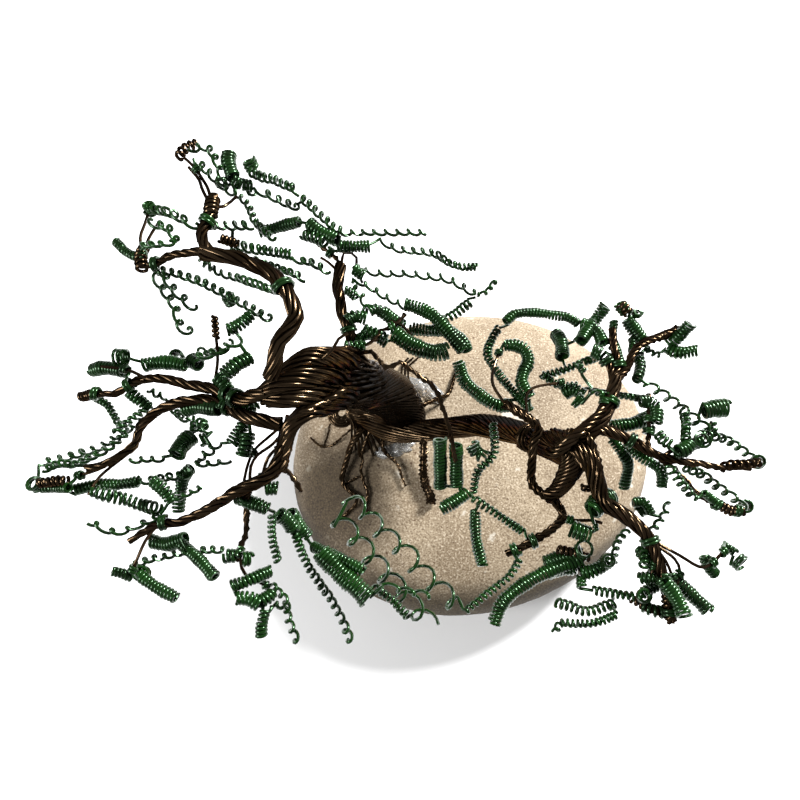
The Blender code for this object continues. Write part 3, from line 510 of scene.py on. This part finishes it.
def smooth_route(route, step):
    """Points about a step apart along a Catmull-Rom curve through the route."""
    stops = [np.array(stop, float) for stop in route]
    stops = [2 * stops[0] - stops[1], *stops, 2 * stops[-1] - stops[-2]]
    points = []
    for before, start, end, after in zip(stops, stops[1:], stops[2:], stops[3:]):
        count = max(1, round(float(np.linalg.norm(end - start)) / step))
        for index in range(count):
            t = index / count
            points.append(0.5 * (2 * start + (end - before) * t
                                 + (2 * before - 5 * start + 4 * end - after) * t ** 2
                                 + (3 * start - before - 3 * end + after) * t ** 3))
    points.append(stops[-2])
    return np.array(points)


def unit_ways(points):
    """The direction of travel at each point."""
    ways = np.gradient(points, axis=0)
    return ways / np.linalg.norm(ways, axis=1)[:, None]


def carried_frames(points):
    """Side and up vectors at each point, carried along without any twist."""
    ways = unit_ways(points)
    side = np.cross(ways[0], (0, 0, 1) if abs(ways[0][2]) < 0.9 else (1, 0, 0))
    sides = np.empty_like(points)
    for index, way in enumerate(ways):
        side = side - way * side.dot(way)
        side /= np.linalg.norm(side)
        sides[index] = side
    return sides, np.cross(ways, sides)


def lengths_along(points):
    """Distance from the first point to each point."""
    gaps = np.linalg.norm(np.diff(points, axis=0), axis=1)
    return np.concatenate([[0.0], np.cumsum(gaps)])


class Spine:
    """A smooth line through a route, with its frames and the bundle's radius at each point."""

    def __init__(self, route, start=None, end=None):
        line = smooth_route(route, STRAND_STEP)
        self.points = line[:, :3]
        self.lengths = lengths_along(self.points)
        self.sides, self.ups = carried_frames(self.points)
        if start is None:
            self.radii = line[:, 3]
        else:
            self.radii = start + (end - start) * self.lengths / self.lengths[-1]

    def around(self, angles, reach):
        """The point at each angle and distance from the line."""
        return self.points + (self.sides * np.cos(angles)[:, None]
                              + self.ups * np.sin(angles)[:, None]) * reach[:, None]

    def angle_of(self, direction, index):
        """The angle round the line that faces a direction."""
        return math.atan2(direction.dot(self.ups[index]), direction.dot(self.sides[index]))

    def twist(self, lay, reach):
        """How far a strand has turned round the line at each point."""
        steps = np.diff(self.lengths, prepend=0.0)
        return np.cumsum(steps * math.tan(math.radians(lay)) / reach)


class Wires:
    """Round wires gathered into one mesh."""

    def __init__(self):
        self.points = []
        self.faces = []
        self.count = 0

    def add(self, path, radius, sides):
        """One closed wire along a path, with flat cut ends."""
        sides_at, ups_at = carried_frames(path)
        radii = np.broadcast_to(radius, len(path))
        angles = np.arange(sides) * math.tau / sides
        rings = (path[:, None]
                 + (sides_at[:, None] * np.cos(angles)[None, :, None]
                    + ups_at[:, None] * np.sin(angles)[None, :, None]) * radii[:, None, None])
        first = self.count
        self.points.append(rings.reshape(-1, 3))
        for row in range(len(path) - 1):
            low = first + row * sides
            for corner in range(sides):
                ahead = (corner + 1) % sides
                self.faces.append((low + corner, low + ahead, low + sides + ahead, low + sides + corner))
        last = first + (len(path) - 1) * sides
        self.faces.append(tuple(reversed(range(first, first + sides))))
        self.faces.append(tuple(range(last, last + sides)))
        self.count += len(path) * sides

    def build(self, name, material):
        """The gathered wires as one object."""
        return mesh_object(name, np.concatenate(self.points), self.faces, material, SHARP_ANGLE)


def add_object(name, data):
    """A new object in the scene."""
    made = bpy.data.objects.new(name, data)
    bpy.context.collection.objects.link(made)
    return made


def mesh_object(name, points, faces, material, sharp):
    """An object from points in mm, smooth except where faces meet at more than the sharp angle."""
    mesh = bpy.data.meshes.new(name)
    mesh.from_pydata((np.array(points) * MM).tolist(), [], faces)
    mesh.shade_smooth()
    mesh.set_sharp_from_angle(angle=math.radians(sharp))
    mesh.materials.append(material)
    return add_object(name, mesh)


def add_bundle(wires, spine, lay, gauge, chance):
    """A bundle: a dark core and a full ring of strands laid round it, fewer where it thins."""
    if spine.radii.max() < 1.2 * gauge:
        wires.add(spine.points, gauge, WIRE_SIDES)
        return
    ring = np.maximum(spine.radii - gauge, gauge * 1.05)
    twist = spine.twist(lay, ring)
    # Where the bundle thins, a strand that there is no more room for sinks into the core and ends.
    room = math.tau * ring * math.cos(math.radians(lay)) / (STRAND_GAP * gauge)
    for strand in range(max(2, int(room.max() + 0.4))):
        used = room > strand + 0.6
        if used.sum() < 3:
            continue
        waves = np.sin(spine.lengths * chance.uniform(0.3, 0.8) + chance.uniform(0, math.tau))
        waver = 0.1 * gauge * waves
        sink = np.clip(1.6 - (room - strand), 0, 1) * gauge
        reach = ring + waver - sink + chance.uniform(-0.12, 0.12) * gauge
        angles = math.tau * strand / room + twist + chance.uniform(-0.1, 0.1) * gauge / ring
        wires.add(spine.around(angles, reach)[used], gauge, WIRE_SIDES)
    wires.add(spine.points, np.maximum(ring - 0.7 * gauge, 0.5 * gauge), CORE_SIDES)


def add_lobe(wires, trunk, lay, gauge, strands, route, chance):
    """A lobe of the crown: strands that rise on the trunk's face and gather into a bundle."""
    lobe = Spine(route)
    heights = trunk.points[:, 2]
    first = int(np.argmax(heights > LOBE_RISES))
    last = int(np.argmax(heights > LOBE_LEAVES))
    outwards = lobe.points[0] - trunk.points[last]
    facing = trunk.angle_of(outwards, last)
    face = trunk.sides[last] * math.cos(facing) + trunk.ups[last] * math.sin(facing)
    lobe_facing = lobe.angle_of(face, 0)
    rise = trunk.twist(lay, trunk.radii)
    turn = lobe.twist(LOBE_LAY, lobe.radii)
    for strand in range(strands):
        share = (strand + 0.5) / strands - 0.5
        angles = facing + share * math.tau / 3 + rise - rise[last]
        low = trunk.around(angles, trunk.radii + chance.uniform(-0.1, 0.1) * gauge)
        high = lobe.around(lobe_facing + share * math.tau + turn, lobe.radii - gauge)
        deep = trunk.around(angles, trunk.radii - 2 * gauge)
        stops = [deep[first - 4], *low[first:last:4], *high[::3]]
        wires.add(smooth_route(stops, STRAND_STEP), gauge, WIRE_SIDES)
    wires.add(lobe.points, lobe.radii - 1.6 * gauge, CORE_SIDES)


def add_curl(wires, gauge):
    """The thick limb's end by the stone, where its wires turn round on themselves."""
    x, y = CURL_MIDDLE
    for turn in range(CURL_WIRES):
        radius = 1.2 + 0.62 * turn
        arc = [(x + radius * math.cos(angle), y + radius * math.sin(angle), 37.5 - 0.2 * turn)
               for angle in np.radians(range(130, 331, 40))]
        route = [(-27, 10, 48), (-33, 12, 44), *arc, (-34.5, 7.6, 38.6 + 0.3 * turn), (-31, 6, 39.5)]
        wires.add(smooth_route(route, FINE_STEP), gauge, WIRE_SIDES)


def add_foot(wires, gauge):
    """The fan of wires from the thick limb's end down to the stone."""
    for strand in range(FOOT_WIRES):
        x = -36.5 + 1.3 * strand
        y = -1.6 + 1.2 * math.sin(strand * 2.1)
        over = (-36 + 0.7 * strand, 4.6 - 0.1 * strand, 37.4)
        route = [(-34, 7, 40.5), (-36.6, 7.8, 39.6), over, (x, y, stone_top(x, y) + 0.4)]
        wires.add(smooth_route(route, FINE_STEP), gauge, WIRE_SIDES)


def stone_outline(angle):
    """Radius of the stone's widest ring in a direction seen from above."""
    turned = angle - STONE_TURN
    oval = 1 / math.hypot(math.cos(turned) / STONE_HALF_LENGTH, math.sin(turned) / STONE_HALF_WIDTH)
    towards_narrow_end = max(0.0, math.cos(angle - STONE_NARROW_END))
    return oval * (1 - STONE_NARROWING * towards_narrow_end ** 2)


def stone_top(x, y):
    """Height of the stone's upper face over a point seen from above."""
    share = min(math.hypot(x, y) / stone_outline(math.atan2(y, x)), 1.0)
    return STONE_WAIST + STONE_CROWN * math.sqrt(1 - share ** (2 / STONE_FULLNESS))


def lying(route, radius, climb):
    """A route seen from above, laid on the stone after starting some way above it."""
    laid = []
    for index, (x, y) in enumerate(route):
        above = climb * (1 - index / (len(route) - 1)) ** 3
        laid.append((x, y, stone_top(x, y) + radius + above))
    return laid


def rippled(point, amount, scale):
    """A small rise or fall that varies smoothly over a surface."""
    return amount * mathutils.noise.noise(mathutils.Vector(point) * scale)


def both_ends(value):
    """A value that is given once, or for each end."""
    return value if isinstance(value, tuple) else (value, value)


def leaf_route(name, height, places):
    """A leaf's route from its places seen from above. A single place makes an upright coil.

    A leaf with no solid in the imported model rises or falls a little, along its line of sight.
    """
    places = places if len(places) > 1 else places * 2
    heights = np.linspace(*both_ends(height), len(places))
    route = [np.array((x, y, z)) for (x, y), z in zip(places, heights)]
    if "spring_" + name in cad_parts:
        return route
    return [stop + (EYE - stop) * rippled(stop, LEAF_RISE, LEAF_WAVES) / (EYE[2] - stop[2])
            for stop in route]


def coil_path(radius, gauge, pitches, route, phase):
    """The wire's path round a coil, a little uneven from turn to turn."""
    line = smooth_route(route, LEAF_STEP)
    lengths = lengths_along(line)
    sides_at, ups_at = carried_frames(line)
    fine = np.linspace(0, lengths[-1], PITCH_STEPS)
    pitch = np.linspace(*pitches, PITCH_STEPS)
    turned = np.concatenate([[0.0], np.cumsum(np.diff(fine) / pitch[1:])])
    turns = np.linspace(0, turned[-1], max(8, int(turned[-1] * COIL_STEPS)))
    where = np.interp(turns, turned, fine)

    def along(values):
        return np.stack([np.interp(where, lengths, values[:, axis]) for axis in range(3)], axis=1)

    angles = math.tau * turns + phase
    # Slack is 0 where the turns lie close together and 1 where they are well apart.
    slack = np.clip((np.interp(where, fine, pitch) - 0.7) / 0.5, 0, 1)
    swell = 0.07 * np.sin(turns * 0.8 + phase)
    jitter = (0.04 + 0.04 * slack) * np.sin(turns * 4.3 + 2 * phase)
    uneven = 1 + swell + jitter
    outwards = np.sign((line[-1] - line[0])[:2] @ (line.mean(axis=0)[:2] - TREE_MIDDLE))
    steady = outwards * TURN_LEAN * max(pitches) / (radius - gauge)
    rocking = 0.12 * np.sin(turns * 1.3 + 3 * phase)
    lean = slack * (rocking - steady)
    ring = along(sides_at) * np.cos(angles)[:, None] + along(ups_at) * np.sin(angles)[:, None]
    tilt = along(unit_ways(line)) * (np.sin(angles) * lean)[:, None]
    return along(line) + (ring + tilt) * ((radius - gauge) * uneven)[:, None]


def nearest(places, point):
    """The distance to the nearest place and which one it is."""
    gaps = np.linalg.norm(places - point, axis=1)
    index = int(np.argmin(gaps))
    return float(gaps[index]), index


def hang_leaves(branches):
    """What each leaf hangs from: the nearest branch, or the nearest leaf that already hangs."""
    places = np.concatenate([spine.points for spine in branches])
    ways = np.concatenate([unit_ways(spine.points) for spine in branches])
    radii = np.concatenate([spine.radii for spine in branches])
    lines = {name: smooth_route(leaf_route(name, height, places), HANG_STEP)
             for name, _, _, height, places in LEAVES}
    ends = {(name, end): nearest(places, line[end]) for name, line in lines.items() for end in (0, -1)}
    hung = {}
    while ends:
        name, end = min(ends, key=ends.get)
        index = ends[name, end][1]
        hung[name] = (end, places[index], ways[index], radii[index])
        del ends[name, 0], ends[name, -1]
        first = len(places)
        places = np.concatenate([places, lines[name]])
        ways = np.concatenate([ways, unit_ways(lines[name])])
        radii = np.concatenate([radii, np.zeros(len(lines[name]))])
        for waiting, known in ends.items():
            gap, index = nearest(lines[name], lines[waiting[0]][waiting[1]])
            if gap < known[0]:
                ends[waiting] = (gap, first + index)
    return hung


def leaf_tail(place, way, radius, goal):
    """A leaf's stalk, which goes a short way to its coil, after some turns where it hangs from a branch."""
    side = np.cross(way, goal - place)
    side /= np.linalg.norm(side)
    up = np.cross(side, way)
    tail = place + up * 0.5
    turns = np.empty((0, 3))
    if radius > 0:
        angles = np.linspace(-STALK_TURNS * math.tau, 0, 12 * STALK_TURNS) + math.pi / 2
        slide = np.linspace(-2 * STALK_TURNS * GREEN_RADIUS, 0, 12 * STALK_TURNS)
        turns = place + way * slide[:, None] + (
            side * np.cos(angles)[:, None] + up * np.sin(angles)[:, None]) * (radius + GREEN_RADIUS)
        tail = turns[-1]
    middle = (tail + goal) / 2 - (0, 0, 0.06 * np.linalg.norm(goal - tail))
    return np.concatenate([turns[:-1], smooth_route([tail, middle, goal], LEAF_STEP)[:-1]])


def new_material(name, roughness, metallic=0.0):
    """A Principled material and its node tree."""
    material = bpy.data.materials.new(name)
    material.use_nodes = True
    shader = material.node_tree.nodes["Principled BSDF"]
    shader.inputs["Roughness"].default_value = roughness
    shader.inputs["Metallic"].default_value = metallic
    return material, material.node_tree, shader


def object_place(tree):
    """The object's own coordinates, in metres."""
    return tree.nodes.new("ShaderNodeTexCoord").outputs["Object"]


def noise(tree, scale, detail):
    """A noise value between 0 and 1, scale in features to the metre."""
    texture = tree.nodes.new("ShaderNodeTexNoise")
    texture.inputs["Scale"].default_value = scale
    texture.inputs["Detail"].default_value = detail
    tree.links.new(object_place(tree), texture.inputs["Vector"])
    return texture.outputs["Fac"]


def ramp(tree, value, stops):
    """A colour ramp on a value: stops are (position, colour)."""
    made = tree.nodes.new("ShaderNodeValToRGB")
    elements = made.color_ramp.elements
    while len(elements) < len(stops):
        elements.new(0.5)
    for element, (position, colour) in zip(elements, stops):
        element.position = position
        element.color = (*colour, 1.0)
    tree.links.new(value, made.inputs["Fac"])
    return made.outputs["Color"]


def mask(tree, value, low, high):
    """0 at low and 1 at high, whichever of them is the greater, and smooth between them."""
    made = tree.nodes.new("ShaderNodeMapRange")
    made.interpolation_type = "SMOOTHSTEP"
    made.inputs["From Min"].default_value = min(low, high)
    made.inputs["From Max"].default_value = max(low, high)
    made.inputs["To Min"].default_value = 0.0 if low < high else 1.0
    made.inputs["To Max"].default_value = 1.0 if low < high else 0.0
    tree.links.new(value, made.inputs["Value"])
    return made.outputs["Result"]


def maths(tree, operation, first, second):
    """One sum on two values, where the second may be a plain number."""
    made = tree.nodes.new("ShaderNodeMath")
    made.operation = operation
    tree.links.new(first, made.inputs[0])
    if isinstance(second, float):
        made.inputs[1].default_value = second
    else:
        tree.links.new(second, made.inputs[1])
    return made.outputs["Value"]


def mix(tree, share, first, second, blend="MIX"):
    """Two colours mixed by a share; the second may be a plain colour."""
    made = tree.nodes.new("ShaderNodeMix")
    made.data_type = "RGBA"
    made.blend_type = blend
    tree.links.new(share, made.inputs["Factor"])
    tree.links.new(first, made.inputs["A"])
    if isinstance(second, tuple):
        made.inputs["B"].default_value = (*second, 1.0)
    else:
        tree.links.new(second, made.inputs["B"])
    return made.outputs["Result"]


def distance_from(tree, place):
    """How far, in mm, a point of the object is from a place in mm."""
    made = tree.nodes.new("ShaderNodeVectorMath")
    made.operation = "DISTANCE"
    tree.links.new(object_place(tree), made.inputs[0])
    made.inputs[1].default_value = [value * MM for value in place]
    return maths(tree, "MULTIPLY", made.outputs["Value"], 1 / MM)


def height_above_dip(tree):
    """How high, in mm, a point of the object is above a plane that rises towards the front."""
    made = tree.nodes.new("ShaderNodeVectorMath")
    made.operation = "DOT_PRODUCT"
    tree.links.new(object_place(tree), made.inputs[0])
    made.inputs[1].default_value = (0, UNDERSIDE_SHADE_DIP / MM, 1 / MM)
    return made.outputs["Value"]


def bump(tree, shader, value, distance, strength):
    """Relief from a value, with its depth in mm."""
    made = tree.nodes.new("ShaderNodeBump")
    made.inputs["Distance"].default_value = distance * MM
    made.inputs["Strength"].default_value = strength
    tree.links.new(value, made.inputs["Height"])
    tree.links.new(made.outputs["Normal"], shader.inputs["Normal"])


def wire_material(name, dark, light, metallic, edge, gloss):
    """Enamelled wire: a dark glossy skin, metallic or not, in a colour that drifts along it."""
    material, tree, shader = new_material(name, 0.2, metallic)
    shader.inputs["Specular IOR Level"].default_value = gloss
    shader.inputs["Specular Tint"].default_value = (*edge, 1.0)
    colour = ramp(tree, noise(tree, 260, 3), [(0.35, dark), (0.65, light)])
    tree.links.new(colour, shader.inputs["Base Color"])
    bump(tree, shader, noise(tree, 2600, 2), 0.02, 0.3)
    return material


def stone_material():
    """Sandstone: sandy grain, brown specks and pale crystals, with a painted shadow of the trunk and crown at
    the front left and painted shade on the underside, reaching higher at the front.
    """
    material, tree, shader = new_material("stone_grain_and_painted_shade", 0.78)
    drift = noise(tree, 70, 4)
    sand = ramp(tree, drift, [(0.35, (0.18, 0.133, 0.081)), (0.65, (0.26, 0.203, 0.133))])
    grain = noise(tree, 2000, 5)
    shaded = mix(tree, mask(tree, grain, 0.50, 0.30), sand, (0.10, 0.066, 0.035))
    grained = mix(tree, mask(tree, grain, 0.50, 0.74), shaded, (0.43, 0.36, 0.27))
    specks = mask(tree, noise(tree, 700, 2), 0.68, 0.73)
    specked = mix(tree, specks, grained, (0.08, 0.045, 0.02))
    crystals = mix(tree, mask(tree, noise(tree, 190, 6), 0.63, 0.72), specked, (0.45, 0.41, 0.34))
    # Painted shadow of the trunk and crown: the stone is darkened round a place at its front left, with a
    # wandering edge.
    wander = maths(tree, "MULTIPLY", noise(tree, 160, 5), 14.0)
    painted_crown_shadow = mask(tree, maths(tree, "ADD", distance_from(tree, CROWN_SHADOW_MIDDLE), wander), 31, 15)
    crown_shadowed = mix(tree, painted_crown_shadow, crystals, (0.28, 0.24, 0.17), "MULTIPLY")
    # Painted shade on the stone's underside: darker below a line that rises towards the front, with a wavy
    # edge.
    edge = maths(tree, "MULTIPLY", noise(tree, 120, 4), 4.0)
    painted_underside_shade = mask(tree, maths(tree, "ADD", height_above_dip(tree), edge), 22, 14)
    underside_shaded = mix(tree, painted_underside_shade, crown_shadowed, (0.22, 0.20, 0.14), "MULTIPLY")
    tree.links.new(underside_shaded, shader.inputs["Base Color"])
    bump(tree, shader, grain, 0.3, 0.5)
    return material


def glue_material():
    """Clear glue that has dried a little cloudy."""
    material, tree, shader = new_material("clear_glue", 0.15)
    shader.inputs["Transmission Weight"].default_value = 0.8
    shader.inputs["IOR"].default_value = 1.47
    colour = ramp(tree, noise(tree, 400, 3), [(0.3, (0.62, 0.61, 0.58)), (0.7, (0.88, 0.87, 0.85))])
    tree.links.new(colour, shader.inputs["Base Color"])
    bump(tree, shader, noise(tree, 500, 3), 0.3, 0.6)
    return material


def make_rings(name, rings, material, sharp):
    """A closed body through rings of points in mm, with a point at its top and a flat foot."""
    sides = len(rings[0])
    points = [point for ring in rings for point in ring]
    faces = []
    for row in range(len(rings) - 1):
        for side in range(sides):
            ahead = (side + 1) % sides
            low, high = row * sides, (row + 1) * sides
            faces.append((low + side, low + ahead, high + ahead, high + side))
    top = (len(rings) - 1) * sides
    points.append(np.mean(rings[-1], axis=0))
    faces += [(top + side, top + (side + 1) % sides, len(points) - 1) for side in range(sides)]
    faces.append(tuple(reversed(range(sides))))
    return mesh_object(name, points, faces, material, sharp)


def make_stone(material):
    """The pebble, a little uneven all over."""
    rings = []
    for climb in np.linspace(-math.asin(STONE_WAIST / STONE_BELLY), math.radians(88), STONE_SIZES[0]):
        rise = math.sin(climb)
        ring = []
        for angle in np.linspace(0, math.tau, STONE_SIZES[1], endpoint=False):
            reach = stone_outline(angle) * (1 - rise ** 2) ** (STONE_FULLNESS / 2)
            x, y = reach * math.cos(angle), reach * math.sin(angle)
            z = max(STONE_WAIST + (STONE_CROWN if rise > 0 else STONE_BELLY) * rise, 0.0)
            swells = rippled((x, y, z), 0.30, 0.09)
            dents = rippled((x, y, z), 0.12, 0.35)
            worn = 1 + (swells + dents - STONE_WORN) / STONE_REACH
            ring.append((x * worn, y * worn, z * worn))
        rings.append(ring)
    piece = make_rings("stone_pebble", rings, material, 50)
    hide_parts("river_stone")
    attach(piece, "root")


def make_glue(material):
    """The lumps of glue: low uneven domes that follow the stone's face."""
    for name, (x, y, half_length, half_width, height, turn) in GLUE.items():
        turned = math.radians(turn)
        rings = []
        for climb in np.linspace(0, math.radians(85), GLUE_SIZES[0]):
            ring = []
            for angle in np.linspace(0, math.tau, GLUE_SIZES[1], endpoint=False):
                edge = 1 + rippled((math.cos(angle) * 2, math.sin(angle) * 2, x), 0.5, 1)
                along = half_length * math.cos(climb) * math.cos(angle) * edge
                across = half_width * math.cos(climb) * math.sin(angle) * edge
                px = x + along * math.cos(turned) - across * math.sin(turned)
                py = y + along * math.sin(turned) + across * math.cos(turned)
                lift = height * math.sin(climb) * (1 + rippled((px, py, 0), 0.9, 0.5))
                ring.append((px, py, stone_top(px, py) - 0.1 + lift))
            rings.append(ring)
        piece = make_rings(name + "_lump", rings, material, SHARP_ANGLE)
        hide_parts(name)
        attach(piece, "root")


def make_armature(material):
    """All the brown wires, from the roots to the twigs, as one piece, and the spines of its branches."""
    chance = random.Random(SEED)
    wires = Wires()
    gauge, lay, route = TRUNK
    trunk = Spine(route)
    add_bundle(wires, trunk, lay, gauge, chance)
    for strands, lobe in LOBES:
        add_lobe(wires, trunk, lay, gauge, strands, lobe, chance)
    gauge, lay, route = THICK_LIMB
    branches = [Spine(route)]
    add_bundle(wires, branches[0], lay, gauge, chance)
    add_curl(wires, gauge)
    add_foot(wires, gauge)
    for start, end, lay, gauge, route in LIMBS:
        branches.append(Spine(route, start, end))
        add_bundle(wires, branches[-1], lay, gauge, chance)
    for start, end, climb, lay, gauge, route in ROOTS:
        add_bundle(wires, Spine(lying(route, start, climb), start, end), lay, gauge, chance)
    for count, route in TWIGS:
        branches.append(Spine(route, count * TWIG_RADIUS, count * TWIG_RADIUS))
        add_bundle(wires, branches[-1], TWIG_LAY, TWIG_RADIUS, chance)
    for radius, pitch, route in WRAPS:
        wires.add(coil_path(radius, WRAP_RADIUS, (pitch, pitch), route, 0.0), WRAP_RADIUS, WIRE_SIDES)
    piece = wires.build("wire_armature", material)
    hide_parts(*[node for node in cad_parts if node.startswith(("trunk", "limb_", "root_"))])
    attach(piece, "root")
    return branches


def make_leaves(material, branches):
    """The leaves: each one a coil of green wire with its stalk, a piece of its own."""
    chance = random.Random(SEED)
    hung = hang_leaves(branches)
    for name, radius, pitch, height, places in LEAVES:
        end, place, way, thickness = hung[name]
        turned = slice(None, None, -1) if end == -1 else slice(None)
        coil = coil_path(radius, GREEN_RADIUS, both_ends(pitch)[turned],
                         leaf_route(name, height, places)[turned], chance.uniform(0, math.tau))
        wires = Wires()
        wires.add(np.concatenate([leaf_tail(place, way, thickness, coil[0]), coil]), GREEN_RADIUS, WIRE_SIDES)
        piece = wires.build("leaf_" + name, material)
        if "spring_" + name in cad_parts:
            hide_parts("spring_" + name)
        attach(piece, "root")


def make_floor():
    """A plain pale floor."""
    material, tree, shader = new_material("pale_floor", 0.6)
    colour = ramp(tree, noise(tree, 3, 2), [(0.3, (0.86, 0.86, 0.86)), (0.7, (0.90, 0.90, 0.90))])
    tree.links.new(colour, shader.inputs["Base Color"])
    corners = [(x * FLOOR_HALF, y * FLOOR_HALF, 0) for x, y in ((-1, -1), (1, -1), (1, 1), (-1, 1))]
    made = mesh_object("floor", corners, [(0, 1, 2, 3)], material, SHARP_ANGLE)


def aim(thing, place, target):
    """Put a light or a camera at a place in mm and turn it towards a target in mm."""
    thing.location = mathutils.Vector(place) * MM
    way = mathutils.Vector(target) - mathutils.Vector(place)
    thing.rotation_euler = way.to_track_quat("-Z", "Y").to_euler()


def add_light(name, place, size, power):
    """A soft round studio light."""
    lamp = bpy.data.lights.new(name, "AREA")
    lamp.shape = "DISK"
    lamp.size = size * MM
    lamp.energy = power
    aim(add_object(name, lamp), place, LIGHTS_TARGET)


def make_camera():
    """The camera, looking steeply down from the front."""
    lens = bpy.data.cameras.new("camera")
    lens.lens = 31.2
    lens.sensor_width = 36
    lens.clip_start = 0.005
    lens.clip_end = 20
    distance = 200
    elevation = math.radians(72)
    x, y, z = (-22.5, 13.5, 34)
    place = (x, y - distance * math.cos(elevation), z + distance * math.sin(elevation))
    made = add_object("camera", lens)
    aim(made, place, (x, y, z))
    bpy.context.scene.camera = made


def make_world():
    """Even white light from all round."""
    world = bpy.data.worlds.new("studio")
    world.use_nodes = True
    world.node_tree.nodes["Background"].inputs["Color"].default_value = (1, 1, 1, 1)
    world.node_tree.nodes["Background"].inputs["Strength"].default_value = 0.27
    bpy.context.scene.world = world


make_camera()
make_world()
make_floor()
add_light("key", (330, 330, 400), size=140, power=12)
add_light("fill", (-400, -150, 350), size=200, power=2.4)
bpy.context.scene.view_settings.view_transform = "Standard"
brown = wire_material("brown_enamel", dark=(0.027, 0.017, 0.009), light=(0.064, 0.043, 0.025), metallic=0.95,
                      edge=(0.16, 0.13, 0.11), gloss=0.5)
green = wire_material("green_enamel", dark=(0.003, 0.008, 0.002), light=(0.006, 0.027, 0.004), metallic=0.0,
                      edge=(0.6, 1.0, 0.6), gloss=0.38)
make_leaves(green, make_armature(brown))
make_stone(stone_material())
make_glue(glue_material())
